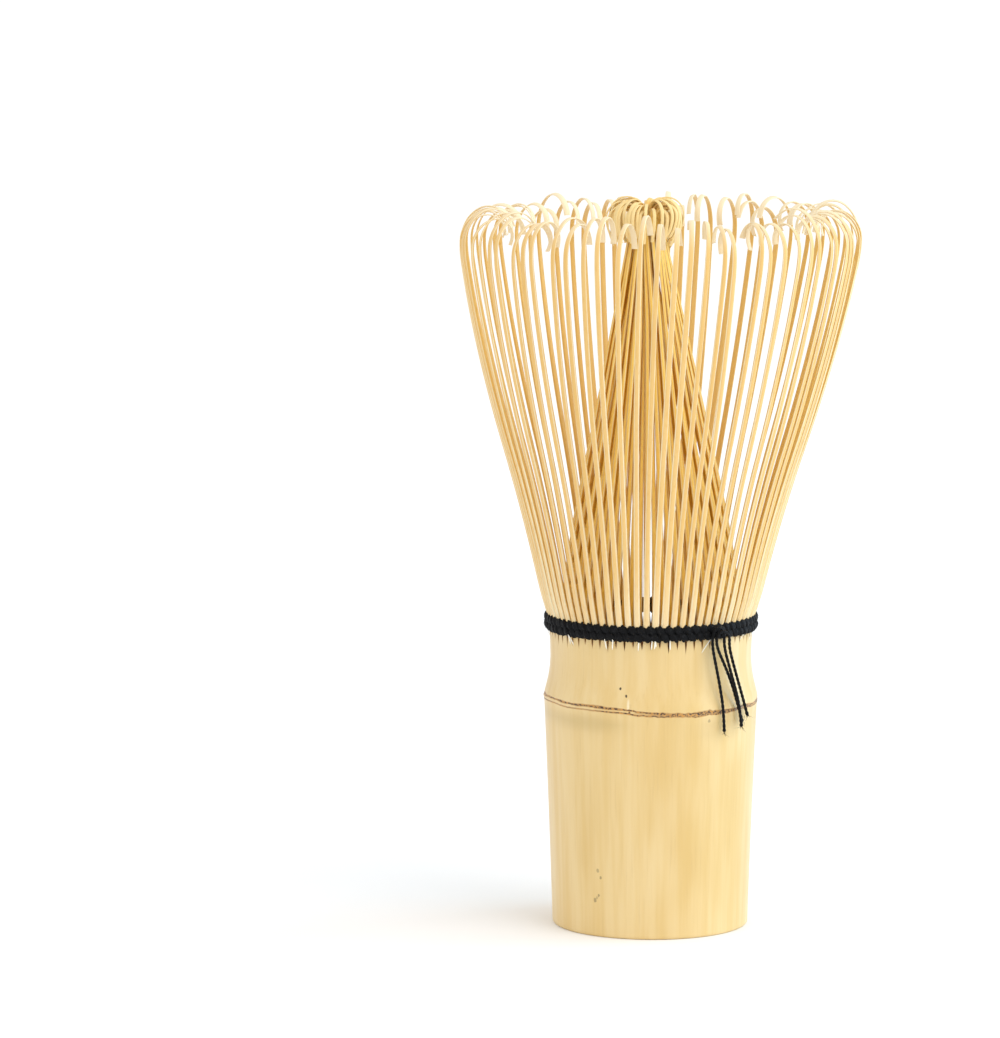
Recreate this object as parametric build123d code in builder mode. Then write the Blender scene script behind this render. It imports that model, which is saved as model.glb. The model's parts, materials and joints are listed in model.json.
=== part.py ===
from build123d import *
import os
from math import atan, atan2, cos, degrees, pi, radians, sin, tan

# Bamboo tea whisk, standing on the open end of its handle.
# Millimetres, +Z up, origin at the centre of the base on the floor.

os.makedirs("parts", exist_ok=True)

# ---------------------------------------------------------------- culm
base_radius = 14.85
grip_radius = 15.25
grip_height = 11.0
shoulder_radius = 15.95
shoulder_height = 29.0
node_radius = 16.15
node_height = 34.8
node_lip = 1.4
node_bulge = 0.12
waist_radius = 15.15
waist_height = 42.0
flare_sag = 0.35
base_chamfer = 0.35
bore_radius = 11.6
septum_thickness = 1.8
septum_drop = 0.6
upper_bore_radius = 11.8

# ---------------------------------------------------------------- crown
crown_radius = 15.35
crown_height = 47.95
slit_depth = 3.35
slit_width = 0.34
layer_thickness = 0.8
layer_gap = 0.6
layer_gap_depth = 2.25

# ---------------------------------------------------------------- tines
sectors = 18
tines_per_sector = 4
root_clearance = 0.05
outer_root_width = 0.95
outer_tip_width = 0.8
outer_root_thickness = 0.8
outer_tip_thickness = 0.3
outer_root_lean = 0.5
outer_bow = 0.75
ring_radius = 30.0
outer_stem_rise = 56.65
outer_hook_radius = 3.9
outer_hook_turn = 190.0
inner_root_width = 0.8
inner_tip_width = 0.3
inner_root_thickness = 0.6
inner_tip_thickness = 0.24
inner_bow = 1.1
neck_radius = 2.3
neck_step = 1.6
inner_stem_rise = 60.95
bulb_radius = 6.0
inner_fall_radius = 3.5
inner_fall_turn = 50.0

# ---------------------------------------------------------------- thread
thread_diameter = 0.72
inner_thread_diameter = 0.52
thread_clearance = 0.02
band_depth = 1.35
knot_width = 2.4
knot_depth = 1.5
knot_rise = 1.9
knot_fillet = 0.5
knot_face_fillet = 0.4
knot_direction = -52.0
tie_diameter = 0.5

# Points of the two tie threads, from the end of one tail over the knot to the end of the other.
tie_route_1 = [
    (11.05, -12.65, 31.4),
    (10.95, -12.75, 34.6),
    (10.40, -13.15, 38.2),
    (9.75, -13.50, 41.6),
    (9.20, -13.95, 44.4),
    (9.20, -14.25, 46.5),
    (10.10, -13.75, 47.6),
    (11.00, -12.95, 46.5),
    (10.95, -12.80, 44.4),
    (11.70, -12.75, 41.5),
    (12.60, -12.20, 38.3),
    (13.35, -11.25, 35.1),
    (13.65, -10.75, 31.9),
]
tie_route_2 = [
    (13.80, -9.75, 32.5),
    (13.00, -10.75, 35.6),
    (12.10, -11.75, 38.8),
    (11.00, -12.75, 41.7),
    (9.90, -13.65, 44.3),
    (9.75, -14.65, 46.0),
    (10.75, -14.05, 47.1),
    (11.80, -13.15, 46.1),
    (11.70, -12.15, 44.4),
    (12.20, -11.60, 42.2),
    (12.95, -10.80, 39.4),
    (13.80, -9.70, 36.3),
    (14.60, -8.45, 33.2),
]

# ---------------------------------------------------------------- worked out from the values above
tine_count = sectors * tines_per_sector
tine_pitch = 360 / tine_count
sector_pitch = 360 / sectors
slit_bottom = crown_height - slit_depth
layer_gap_bottom = crown_height - layer_gap_depth
band_height = crown_height - band_depth
septum_top = node_height - septum_drop
septum_bottom = septum_top - septum_thickness
outer_layer_inside = crown_radius - layer_thickness
inner_layer_outside = outer_layer_inside - layer_gap
inner_layer_inside = inner_layer_outside - layer_thickness
outer_root = Vector(
    crown_radius - layer_thickness / 2 + outer_root_lean,
    crown_height + root_clearance + outer_root_thickness / 2,
)
inner_root = Vector(
    inner_layer_outside - layer_thickness / 2,
    crown_height + root_clearance + inner_root_thickness / 2,
)


def heading(angle):
    """Unit vector at an angle in degrees, in a sketch plane."""
    return Vector(cos(radians(angle)), sin(radians(angle)))


def stem_direction(root, top, bow):
    """Angle of the chord from root to top, and how far a bowed stem turns from it at each end."""
    chord = top - root
    return degrees(atan2(chord.Y, chord.X)), degrees(2 * atan(2 * bow / chord.length))


def make_tine(root, top, bow, curls, thicknesses, widths):
    """One tine in the XZ plane: a round root, a stem that bows outwards and thins, and a curled tip.

    Each curl is a radius and a turn in degrees, positive towards the axis.
    """
    root_thickness, tip_thickness = thicknesses
    root_width, tip_width = widths
    lean, half_turn = stem_direction(root, top, bow)
    middle = (root + top) / 2 + heading(lean - 90) * bow
    middle_thickness = (root_thickness + tip_thickness) / 2
    with BuildPart() as tine:
        with BuildSketch(Plane.XZ):
            with BuildLine():
                roots = []
                tips = []
                for side in (1, -1):
                    at_root = root + heading(lean - half_turn + 90 * side) * root_thickness / 2
                    at_middle = middle + heading(lean + 90 * side) * middle_thickness / 2
                    at_top = top + heading(lean + half_turn + 90 * side) * tip_thickness / 2
                    ThreePointArc(at_root, at_middle, at_top)
                    facing = lean + half_turn
                    end = top
                    for radius, turn in curls:
                        way = 1 if turn > 0 else -1
                        centre = end + heading(facing + 90 * way) * radius
                        face_radius = radius - side * way * tip_thickness / 2
                        CenterArc(centre, face_radius, facing - 90 * way, turn)
                        facing += turn
                        end = centre + heading(facing - 90 * way) * radius
                    roots.append(at_root)
                    tips.append(end + heading(facing + 90 * side) * tip_thickness / 2)
                Line(tips[0], tips[1])
                below = root - heading(lean - half_turn) * root_thickness / 2
                ThreePointArc(roots[0], below, roots[1])
            make_face()
        extrude(amount=root_width, both=True)
        above_curls = top.Y + 3 * curls[0][0]
        with BuildSketch(Plane.YZ):
            with BuildLine():
                Polyline(
                    (-root_width / 2, crown_height - root_thickness),
                    (root_width / 2, crown_height - root_thickness),
                    (tip_width / 2, top.Y),
                    (tip_width / 2, above_curls),
                    (-tip_width / 2, above_curls),
                    (-tip_width / 2, top.Y),
                    close=True,
                )
            make_face()
        extrude(amount=2 * ring_radius, both=True, mode=Mode.INTERSECT)
    return tine.part


def make_sector(index, blanks):
    """The tines of one sector, placed round the axis; the blanks are used in turn."""
    middle = (tines_per_sector - 1) / 2
    with BuildPart() as sector:
        for place in range(tines_per_sector):
            angle = index * sector_pitch + (place - middle) * tine_pitch
            with Locations(Rotation(0, 0, angle)):
                add(blanks[place % len(blanks)])
    return sector


# ---------------------------------------------------------------- handle
# The carved culm: an open bore below the node, its diaphragm at the node, and a crown above, whose
# wall is parted into an outer and an inner layer and slit into one finger for each tine.
with BuildPart() as handle:
    with BuildSketch(Plane.XZ):
        with BuildLine():
            Line((base_radius - base_chamfer, 0), (base_radius, base_chamfer))
            ThreePointArc(
                (base_radius, base_chamfer),
                (grip_radius, grip_height),
                (shoulder_radius, shoulder_height),
            )
            Line((shoulder_radius, shoulder_height), (node_radius, node_height - node_lip / 2))
            ThreePointArc(
                (node_radius, node_height - node_lip / 2),
                (node_radius + node_bulge, node_height),
                (node_radius, node_height + node_lip / 2),
            )
            flare_foot = Vector(node_radius, node_height + node_lip / 2)
            flare_top = Vector(waist_radius, waist_height)
            flare_middle = (flare_foot + flare_top) / 2 - Vector(flare_sag, 0)
            ThreePointArc(flare_foot, flare_middle, flare_top)
            Polyline(
                (waist_radius, waist_height),
                (crown_radius, slit_bottom),
                (crown_radius, crown_height),
                (outer_layer_inside, crown_height),
                (outer_layer_inside, layer_gap_bottom),
                (inner_layer_outside, layer_gap_bottom),
                (inner_layer_outside, crown_height),
                (inner_layer_inside, crown_height),
                (inner_layer_inside, slit_bottom),
                (upper_bore_radius, waist_height),
                (upper_bore_radius, septum_top),
                (0, septum_top),
                (0, septum_bottom),
                (bore_radius, septum_bottom),
                (bore_radius, 0),
                (base_radius - base_chamfer, 0),
            )
        make_face()
    revolve(axis=Axis.Z)
    slit_length = crown_radius - inner_layer_inside + 2 * layer_thickness
    with BuildSketch(Plane.XY.offset(slit_bottom)):
        with PolarLocations((crown_radius + inner_layer_inside) / 2, tine_count):
            Rectangle(slit_length, slit_width)
    extrude(amount=crown_height - slit_bottom + root_clearance, mode=Mode.SUBTRACT)

handle.part.label = "handle"
export_step(handle.part, "parts/handle.step")

# ---------------------------------------------------------------- outer tines
# A ring of flared strips whose tips hook back towards the axis.
outer_blank = make_tine(
    outer_root,
    Vector(ring_radius, crown_height + outer_stem_rise),
    outer_bow,
    [(outer_hook_radius, outer_hook_turn)],
    (outer_root_thickness, outer_tip_thickness),
    (outer_root_width, outer_tip_width),
)
for index in range(sectors):
    outer_tines = make_sector(index, [outer_blank])
    outer_tines.part.label = f"outer_tines_{index + 1:02d}"
    export_step(outer_tines.part, f"parts/{outer_tines.part.label}.step")

# ---------------------------------------------------------------- inner tines
# A cone of strips that close to two alternating neck radii, then curl outwards and down in a bulb.
inner_blanks = []
for neck in (neck_radius, neck_radius + neck_step):
    inner_top = Vector(neck, crown_height + inner_stem_rise)
    inner_lean, inner_half_turn = stem_direction(inner_root, inner_top, inner_bow)
    inner_facing = inner_lean + inner_half_turn
    curl_radius = (bulb_radius - neck) / (1 + sin(radians(inner_facing)))
    inner_blanks.append(
        make_tine(
            inner_root,
            inner_top,
            inner_bow,
            [(curl_radius, -inner_facing - 90), (inner_fall_radius, -inner_fall_turn)],
            (inner_root_thickness, inner_tip_thickness),
            (inner_root_width, inner_tip_width),
        )
    )
for index in range(sectors):
    inner_tines = make_sector(index, inner_blanks)
    inner_tines.part.label = f"inner_tines_{index + 1:02d}"
    export_step(inner_tines.part, f"parts/{inner_tines.part.label}.step")

# ---------------------------------------------------------------- thread courses
# Two courses lie on the outside of the crown, and one lies in the gap between its two layers.
course_radius = crown_radius + thread_clearance + thread_diameter / 2
course_step = (thread_diameter + thread_clearance) / 2
with BuildPart() as lower_thread_course:
    with Locations((0, 0, band_height - course_step)):
        Torus(course_radius, thread_diameter / 2)
lower_thread_course.part.label = "lower_thread_course"
export_step(lower_thread_course.part, "parts/lower_thread_course.step")

with BuildPart() as upper_thread_course:
    with Locations((0, 0, band_height + course_step)):
        Torus(course_radius, thread_diameter / 2)
upper_thread_course.part.label = "upper_thread_course"
export_step(upper_thread_course.part, "parts/upper_thread_course.step")

with BuildPart() as inner_thread_course:
    with Locations((0, 0, layer_gap_bottom + thread_clearance + inner_thread_diameter / 2)):
        Torus((outer_layer_inside + inner_layer_outside) / 2, inner_thread_diameter / 2)
inner_thread_course.part.label = "inner_thread_course"
export_step(inner_thread_course.part, "parts/inner_thread_course.step")

# ---------------------------------------------------------------- knot
# A small rounded lump on the outside of the band, which the tie threads pass through.
knot_inside = course_radius + thread_diameter / 2 + thread_clearance
knot_outward = heading(knot_direction)
knot_plane = Plane(
    origin=knot_outward * knot_inside + Vector(0, 0, band_height),
    x_dir=(-knot_outward.Y, knot_outward.X, 0),
    z_dir=knot_outward,
)
with BuildPart() as thread_knot:
    with BuildSketch(knot_plane):
        RectangleRounded(knot_width, knot_rise, knot_fillet)
    extrude(amount=knot_depth)
    fillet(thread_knot.faces().sort_by(Axis(knot_plane.origin, knot_outward))[-1].edges(), knot_face_fillet)
thread_knot.part.label = "thread_knot"
export_step(thread_knot.part, "parts/thread_knot.step")


# ---------------------------------------------------------------- tie threads
def corner_radii(route):
    """For each corner, 0.45 of its shorter run over the tangent of half its turn."""
    radii = []
    for before, corner, after in zip(route, route[1:], route[2:]):
        arriving = Vector(corner) - Vector(before)
        leaving = Vector(after) - Vector(corner)
        shorter = min(arriving.length, leaving.length)
        radii.append(0.45 * shorter / tan(radians(arriving.get_angle(leaving)) / 2))
    return radii


for number, route in ((1, tie_route_1), (2, tie_route_2)):
    radii = corner_radii(route)
    print(f"tie_thread_{number} radii", [round(radius, 2) for radius in radii])
    with BuildPart() as tie_thread:
        with BuildLine() as path:
            FilletPolyline(*route, radius=radii)
        with BuildSketch(Plane(origin=path.line @ 0, z_dir=path.line % 0)):
            Circle(tie_diameter / 2)
        sweep()
    tie_thread.part.label = f"tie_thread_{number}"
    tie_length = sum(edge.length for edge in path.line.edges())
    expected = pi * tie_diameter**2 / 4 * tie_length
    print(f"length {tie_length:.2f}, volume {tie_thread.part.volume:.4f}, section times length {expected:.4f}")
    export_step(tie_thread.part, f"parts/{tie_thread.part.label}.step")
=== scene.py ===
# %% [markdown]
# # A bamboo tea whisk
#
# The whisk is one length of bamboo. Its lower end is left whole as the handle, and its upper end is split
# into a ring of outer tines, which flare and hook inwards, and a cone of inner tines, which curl outwards.
# A black thread is woven round the roots of the tines to part the two rings.
#
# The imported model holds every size, so this script loads it first and takes its heights and widths from it.

# %% Load the frame
import json
from math import cos, radians, sin

import bpy
import numpy as np
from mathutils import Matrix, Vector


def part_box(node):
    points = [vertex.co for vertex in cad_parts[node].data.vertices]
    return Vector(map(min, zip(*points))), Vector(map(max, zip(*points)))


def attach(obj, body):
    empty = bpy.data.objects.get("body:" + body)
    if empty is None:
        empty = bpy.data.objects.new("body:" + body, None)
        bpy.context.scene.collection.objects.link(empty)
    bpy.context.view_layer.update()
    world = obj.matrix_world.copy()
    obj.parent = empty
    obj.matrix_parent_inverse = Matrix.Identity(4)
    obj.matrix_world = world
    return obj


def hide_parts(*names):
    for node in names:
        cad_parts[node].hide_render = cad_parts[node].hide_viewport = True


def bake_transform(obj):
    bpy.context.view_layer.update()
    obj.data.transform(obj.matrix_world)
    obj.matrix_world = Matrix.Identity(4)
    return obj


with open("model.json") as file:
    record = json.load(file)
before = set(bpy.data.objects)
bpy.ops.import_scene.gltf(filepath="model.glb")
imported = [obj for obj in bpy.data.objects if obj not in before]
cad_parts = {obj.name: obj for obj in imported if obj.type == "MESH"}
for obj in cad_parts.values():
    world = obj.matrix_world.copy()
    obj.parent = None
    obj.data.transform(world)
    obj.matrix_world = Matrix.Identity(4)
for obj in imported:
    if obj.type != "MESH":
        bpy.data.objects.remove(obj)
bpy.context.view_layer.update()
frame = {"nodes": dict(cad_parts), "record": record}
mm = 0.001

# %% [markdown]
# ## Camera
#
# A product picture of a small thing is taken from far off with a long lens, so that upright edges stay nearly
# parallel. The camera stands about 790 mm away and looks down by 7 degrees. It is turned a little to the left, which
# puts the whisk to the right of the middle.

# %% Camera
camera_place = (0.0, -0.7865, 0.1623)
camera_pitch = 7.274
camera_turn = 1.672
camera_lens = 181.25


def placed(name, data):
    """A new object in the scene, at the origin, which holds a mesh, a camera or a light."""
    made = bpy.data.objects.new(name, data)
    bpy.context.scene.collection.objects.link(made)
    return made


camera = placed("camera", bpy.data.cameras.new("camera"))
camera.data.lens = camera_lens
camera.data.clip_start = 0.01
camera.location = camera_place
camera.rotation_euler = (radians(90 - camera_pitch), 0, radians(camera_turn))
bpy.context.scene.camera = camera
print("camera", camera_lens, "mm lens", camera_place)

# %% [markdown]
# ## The routes of the tie threads
#
# Two short ends of thread pass over the knot and hang down in front of the handle. A cord's shape is a few listed
# points and one smooth spline through their neighbourhood. The points are control points: the line cuts inside each
# corner, as a soft thread does. They come first, because the thread has to lie where the model has it.

# %% Tie thread routes
tie_routes = {
    "tie_thread_1": [
        (11.05, -12.65, 31.4),
        (10.95, -12.75, 34.6),
        (10.40, -13.15, 38.2),
        (9.75, -13.50, 41.6),
        (9.20, -13.95, 44.4),
        (9.20, -14.25, 46.5),
        (10.10, -13.75, 47.6),
        (11.00, -12.95, 46.5),
        (10.95, -12.80, 44.4),
        (11.70, -12.75, 41.5),
        (12.60, -12.20, 38.3),
        (13.35, -11.25, 35.1),
        (13.65, -10.75, 31.9),
    ],
    "tie_thread_2": [
        (13.80, -9.75, 32.5),
        (13.00, -10.75, 35.6),
        (12.10, -11.75, 38.8),
        (11.00, -12.75, 41.7),
        (9.90, -13.65, 44.3),
        (9.75, -14.65, 46.0),
        (10.75, -14.05, 47.1),
        (11.80, -13.15, 46.1),
        (11.70, -12.15, 44.4),
        (12.20, -11.60, 42.2),
        (12.95, -10.80, 39.4),
        (13.80, -9.70, 36.3),
        (14.60, -8.45, 33.2),
    ],
}

# %% Tie thread lines
def spline_points(name, route):
    """The smooth line of a route in metres: a NURBS spline of order 3 that ends at the route's own ends."""
    curve = bpy.data.curves.new(name, "CURVE")
    curve.dimensions = "3D"
    curve.resolution_u = 24
    spline = curve.splines.new("NURBS")
    spline.points.add(len(route) - 1)
    for point, place in zip(spline.points, route):
        point.co = (place[0] * mm, place[1] * mm, place[2] * mm, 1)
    spline.order_u = 3
    spline.use_endpoint_u = True
    line = bpy.data.objects.new(name, curve)
    mesh = bpy.data.meshes.new_from_object(line)
    points = np.zeros(len(mesh.vertices) * 3)
    mesh.vertices.foreach_get("co", points)
    bpy.data.objects.remove(line)
    bpy.data.curves.remove(curve)
    bpy.data.meshes.remove(mesh)
    return points.reshape(-1, 3)


tie_lines = {name: spline_points(name, route) for name, route in tie_routes.items()}

# %% [markdown]
# ## Surfaces from grids
#
# Every piece here is a sheet of quads that is bent round and closed on itself: rings of points, one ring after
# another along the piece. Blender could make such shapes with curves and bevels, but a grid in numpy gives each
# ring its own size, twist and wear, and the same faces serve for all of them.

# %% Faces
def grid_faces(rows, columns, closed_rows=False):
    """Quads between neighbouring rings: ring i joins ring i + 1, and point j joins point j + 1 round the ring."""
    i = np.arange(rows if closed_rows else rows - 1)[:, None]
    j = np.arange(columns)[None, :]
    after_i = (i + 1) % rows
    after_j = (j + 1) % columns
    quads = [i * columns + j, i * columns + after_j, after_i * columns + after_j, after_i * columns + j]
    return np.stack([np.broadcast_to(q, (len(i), columns)) for q in quads], axis=-1).reshape(-1, 4)


def cap_faces(columns, ring, flip):
    """Closes a ring of an even number of points with quads: each joins two neighbours to the two opposite them."""
    k = np.arange(columns // 2 - 1)
    quads = np.stack([k, k + 1, columns - 2 - k, columns - 1 - k], axis=-1) + ring * columns
    return quads[:, ::-1] if flip else quads


def closed_tube(rows, columns):
    """The faces of a tube with a cap on each end."""
    caps = [cap_faces(columns, 0, True), cap_faces(columns, rows - 1, False)]
    return np.concatenate([grid_faces(rows, columns), *caps])


# %% Pieces and angles
def make_piece(name, points, faces, fields, material, smooth_angle=40):
    """A mesh object at the origin from points in metres, quads, and one number per point for each named field."""
    mesh = bpy.data.meshes.new(name)
    points = points.reshape(-1, 3)
    mesh.vertices.add(len(points))
    mesh.vertices.foreach_set("co", points.astype(np.float32).ravel())
    mesh.loops.add(faces.size)
    mesh.loops.foreach_set("vertex_index", faces.astype(np.int32).ravel())
    mesh.polygons.add(len(faces))
    mesh.polygons.foreach_set("loop_start", np.arange(0, faces.size, 4, dtype=np.int32))
    mesh.update(calc_edges=True)
    for field, values in fields.items():
        layer = mesh.attributes.new(field, "FLOAT", "POINT")
        layer.data.foreach_set("value", np.asarray(values, np.float32).ravel())
    mesh.validate()
    mesh.shade_smooth()
    mesh.set_sharp_from_angle(angle=radians(smooth_angle))
    mesh.materials.append(material)
    return placed(name, mesh)


def unit(vectors):
    """Each vector over its own length."""
    return vectors / np.linalg.norm(vectors, axis=-1, keepdims=True)


def angle_past(angle, centre):
    """How far an angle is past a centre, from -pi to pi."""
    return (angle - centre + np.pi) % (2 * np.pi) - np.pi


# %% [markdown]
# ## Shader sums written as Python
#
# A material is arithmetic on masks and colours. `Field` wraps one number socket, so that `1 - mask * 0.5` adds the
# Math nodes by itself. `Finish` holds the material and makes every other node.

# %% Field
class Field:
    """A number that varies over a surface, as a socket of a material's nodes."""

    def __init__(self, finish, socket):
        self.finish = finish
        self.socket = socket

    def _with(self, operation, first, second):
        return self.finish.node("ShaderNodeMath", {"operation": operation}, {0: first, 1: second})

    def __add__(self, other):
        return self._with("ADD", self, other)

    def __sub__(self, other):
        return self._with("SUBTRACT", self, other)

    def __rsub__(self, other):
        return self._with("SUBTRACT", other, self)

    def __mul__(self, other):
        return self._with("MULTIPLY", self, other)

    __radd__ = __add__
    __rmul__ = __mul__


# %% Finish
class Finish:
    """A material whose nodes are made one call at a time."""

    def __init__(self, name):
        self.material = bpy.data.materials.new(name)
        self.material.use_nodes = True
        self.tree = self.material.node_tree
        self.tree.nodes.clear()
        self.shader = self.tree.nodes.new("ShaderNodeBsdfPrincipled")
        output = self.tree.nodes.new("ShaderNodeOutputMaterial")
        self.tree.links.new(self.shader.outputs[0], output.inputs["Surface"])

    def node(self, kind, settings=None, values=None, output=0):
        """A node of that kind: its settings are set first, then its sockets, and one output is returned."""
        node = self.tree.nodes.new(kind)
        for name, value in (settings or {}).items():
            setattr(node, name, value)
        for socket, value in (values or {}).items():
            self._feed(node.inputs[socket], value)
        return Field(self, node.outputs[output])

    def _feed(self, socket, value):
        if isinstance(value, Field):
            self.tree.links.new(value.socket, socket)
        else:
            socket.default_value = value

    def field(self, name):
        """A number stored on the mesh's points."""
        return self.node("ShaderNodeAttribute", {"attribute_name": name}, output="Fac")

    def places(self, stretch=(1, 1, 1)):
        """Object coordinates in metres, stretched along each axis."""
        coordinates = self.node("ShaderNodeTexCoord", output="Object")
        return self.node("ShaderNodeMapping", {}, {"Vector": coordinates, "Scale": stretch})

    def noise(self, vector, scale, detail=3.0, roughness=0.55):
        """Noise from about 0.3 to 0.7."""
        values = {"Vector": vector, "Scale": scale, "Detail": detail, "Roughness": roughness}
        return self.node("ShaderNodeTexNoise", {}, values)

    def band(self, value, low, high):
        """0 below low, 1 above high, and smooth between."""
        settings = {"interpolation_type": "SMOOTHSTEP"}
        return self.node("ShaderNodeMapRange", settings, {"Value": value, "From Min": low, "From Max": high})

    def mix(self, share, first, second):
        """The first colour where share is 0 and the second where it is 1."""
        names = {"A": first, "B": second}
        node = self.tree.nodes.new("ShaderNodeMix")
        node.data_type = "RGBA"
        self._feed(node.inputs["Factor"], share)
        for socket in node.inputs:
            if socket.type == "RGBA" and socket.name in names:
                value = names[socket.name]
                self._feed(socket, value if isinstance(value, Field) else (*value, 1))
        return Field(self, next(socket for socket in node.outputs if socket.type == "RGBA"))

    def bump(self, height, depth, strength=1.0):
        """A normal from a height field, whose 1 stands for depth in metres."""
        values = {"Height": height, "Distance": depth, "Strength": strength}
        return self.node("ShaderNodeBump", {}, values)

    def set(self, **values):
        """Feeds the shader's own sockets; an underscore stands for a space."""
        for name, value in values.items():
            if isinstance(value, tuple) and len(value) == 3:
                value = (*value, 1)
            self._feed(self.shader.inputs[name.replace("_", " ")], value)
        return self.material


# %% [markdown]
# ## Finishes
#
# The tines are split out of the wall. Their outer face is scraped skin, cream and a little shiny; the faces that
# were cut are orange-brown and matt. That orange is partly the cut wood's own colour and partly painted warm
# shade, for light that glows through the tines in shadow. The pale cream of the long corners is a painted highlight,
# for light catching them. Three fields tell them apart: `along` runs from root to tip, `round` goes from 0 on the
# outer face over the pale corner and the split side to 3 on the inner face, and `tone` is one random number for
# each tine.

# %% Tine finish
def tine_finish(name, root, face, edge_highlight, side, inner, deep, tip, tip_from, cut_tip=1.0):
    """Split bamboo: root on the skin near the culm, face higher up, edge on the long corners, which is a painted
    highlight for light catching them, and side and inner on the cut faces, which are partly the wood's colour and
    partly painted warm shade. deep is the colour of the fibres' shadows, and tip that of the shaved ends, past
    tip_from; cut_tip is how much of it the cut faces take."""
    finish = Finish(name)
    along = finish.field("along")
    tone = finish.field("tone")
    turn = finish.field("round")
    fibres = finish.noise(finish.places((1, 1, 0.03)), 3200, 3)
    patches = finish.noise(finish.places((1, 1, 0.25)), 240, 2)
    colour = finish.mix(finish.band(along, 0.03, 0.2), root, face)
    # Painted highlight: the long corners are made pale cream, for light catching them.
    colour = finish.mix(finish.band(turn, 0.1, 0.4), colour, edge_highlight)
    # Partly painted warm shade: the cut faces' orange is their own colour and also stands for light glowing through
    # the wood in shadow.
    colour = finish.mix(finish.band(turn, 1.0, 1.3), colour, side)
    colour = finish.mix(finish.band(turn, 2.2, 2.8), colour, inner)
    colour = finish.mix(finish.band(patches, 0.45, 0.75) * 0.25, colour, inner)
    colour = finish.mix(tone * 0.3, colour, deep)
    colour = finish.mix(finish.band(fibres, 0.52, 0.72) * 0.25, colour, deep)
    skin = 1 - finish.band(turn, 1.0, 1.3) * (1 - cut_tip)
    colour = finish.mix(finish.band(along, tip_from, tip_from + 0.12) * skin * 0.75, colour, tip)
    roughness = 0.45 + finish.band(fibres, 0.3, 0.8) * 0.15
    normal = finish.bump(fibres, 0.00004, 0.5)
    return finish.set(Base_Color=colour, Roughness=roughness, Normal=normal)


# %% Tine materials
outer_tine_bamboo = tine_finish(
    "outer_tine_bamboo",
    root=(0.92, 0.70, 0.38),
    face=(0.87, 0.575, 0.215),
    # The corners' pale colour is a painted highlight; side and inner are partly painted warm shade.
    edge_highlight=(0.97, 0.86, 0.58),
    side=(0.76, 0.47, 0.11),
    inner=(0.82, 0.54, 0.17),
    deep=(0.70, 0.37, 0.04),
    tip=(0.96, 0.86, 0.63),
    tip_from=0.84,
)
# Their deeper orange is partly the wood's colour and partly painted warm shade, for light glowing through the inner
# tines in the shade of the outer ring.
inner_tine_bamboo = tine_finish(
    "inner_tine_bamboo",
    root=(0.92, 0.56, 0.06),
    face=(0.94, 0.63, 0.13),
    edge_highlight=(0.97, 0.82, 0.42),
    side=(0.86, 0.49, 0.05),
    inner=(0.90, 0.51, 0.03),
    deep=(0.72, 0.35, 0.01),
    tip=(0.96, 0.82, 0.47),
    tip_from=0.78,
    cut_tip=0.85,
)

# %% [markdown]
# A sliver is the same wood freshly torn, so it uses the same finish with colours close to white. They are partly
# painted light: the torn wood is pale, and the colours are made whiter still, so that the slivers stay bright in the
# thread's shadow.

# %% Sliver finish
# Painted light: near-white, whiter than the torn wood, to offset the thread's shadow on the slivers.
fresh_and_lit = (1.0, 0.96, 0.84)
sliver_bamboo = tine_finish(
    "sliver_bamboo",
    root=fresh_and_lit,
    face=fresh_and_lit,
    edge_highlight=fresh_and_lit,
    side=(1.0, 0.94, 0.78),
    inner=(0.98, 0.90, 0.70),
    deep=(0.96, 0.84, 0.60),
    tip=(1.0, 0.97, 0.86),
    tip_from=0.8,
)
print("tine materials", outer_tine_bamboo.name, inner_tine_bamboo.name, sliver_bamboo.name)

# %% [markdown]
# The thread is black cotton, two or three plies twisted together. The plies are in the mesh; the finish adds the
# single fibres, which lie along each ply, and a dusty sheen.

# %% Thread finish
def thread_finish():
    """Black cotton with a grey bloom on its raised fibres."""
    finish = Finish("black_thread")
    lint = finish.noise(finish.places(), 5200, 3, 0.7)
    worn = finish.noise(finish.places(), 900, 2)
    colour = finish.mix(finish.band(lint, 0.5, 0.75), (0.001, 0.001, 0.0015), (0.018, 0.018, 0.021))
    colour = finish.mix(finish.band(worn, 0.6, 0.8) * 0.5, colour, (0.04, 0.041, 0.046))
    normal = finish.bump(lint, 0.00008, 0.8)
    return finish.set(Base_Color=colour, Roughness=0.6, Normal=normal, Specular_IOR_Level=0.16, Sheen_Weight=0.02)


black_thread = thread_finish()
print("thread material", black_thread.name)

# %% [markdown]
# ## The handle
#
# The culm is a surface of revolution, so it is a grid over the angle and a path. The path starts under the middle
# of the diaphragm, goes down the bore, round the foot, up the outside, over the rim and down to the diaphragm again.
# Three things keep it from looking turned: it is slightly oval, its node lines wander, and its rim is split into one
# finger for each tine.

# %% Handle sizes
_, handle_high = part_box("handle")
sector_count = sum(name.startswith("outer_tines") for name in frame["nodes"])
sector_tines = 4
tine_count = sector_tines * sector_count
pitch = 2 * np.pi / tine_count
tine_angles = (np.arange(tine_count) - 1.5) * pitch
crown_top = handle_high.z / mm
bore = next(mount for mount in frame["record"]["mounts"] if mount["name"] == "handle_bore")
bore_radius = bore["dims"]["r_mm"]
bore_top = bore["dims"]["length_mm"]
diaphragm_thickness = 1.8
diaphragm_drop = 0.6
node_lip = 0.12
node_radius = handle_high.x / mm - node_lip
node_height = bore_top + diaphragm_thickness + diaphragm_drop
base_radius = node_radius - 1.3
waist_radius = node_radius - 1.0
crown_radius = waist_radius + 0.2
rim_height = crown_top - 1.75
split_start = 43.0
print("tines", tine_count, "node", round(node_radius, 2), "at", round(node_height, 2))
print("crown top", round(crown_top, 2), "rim", round(rim_height, 2))

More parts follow.
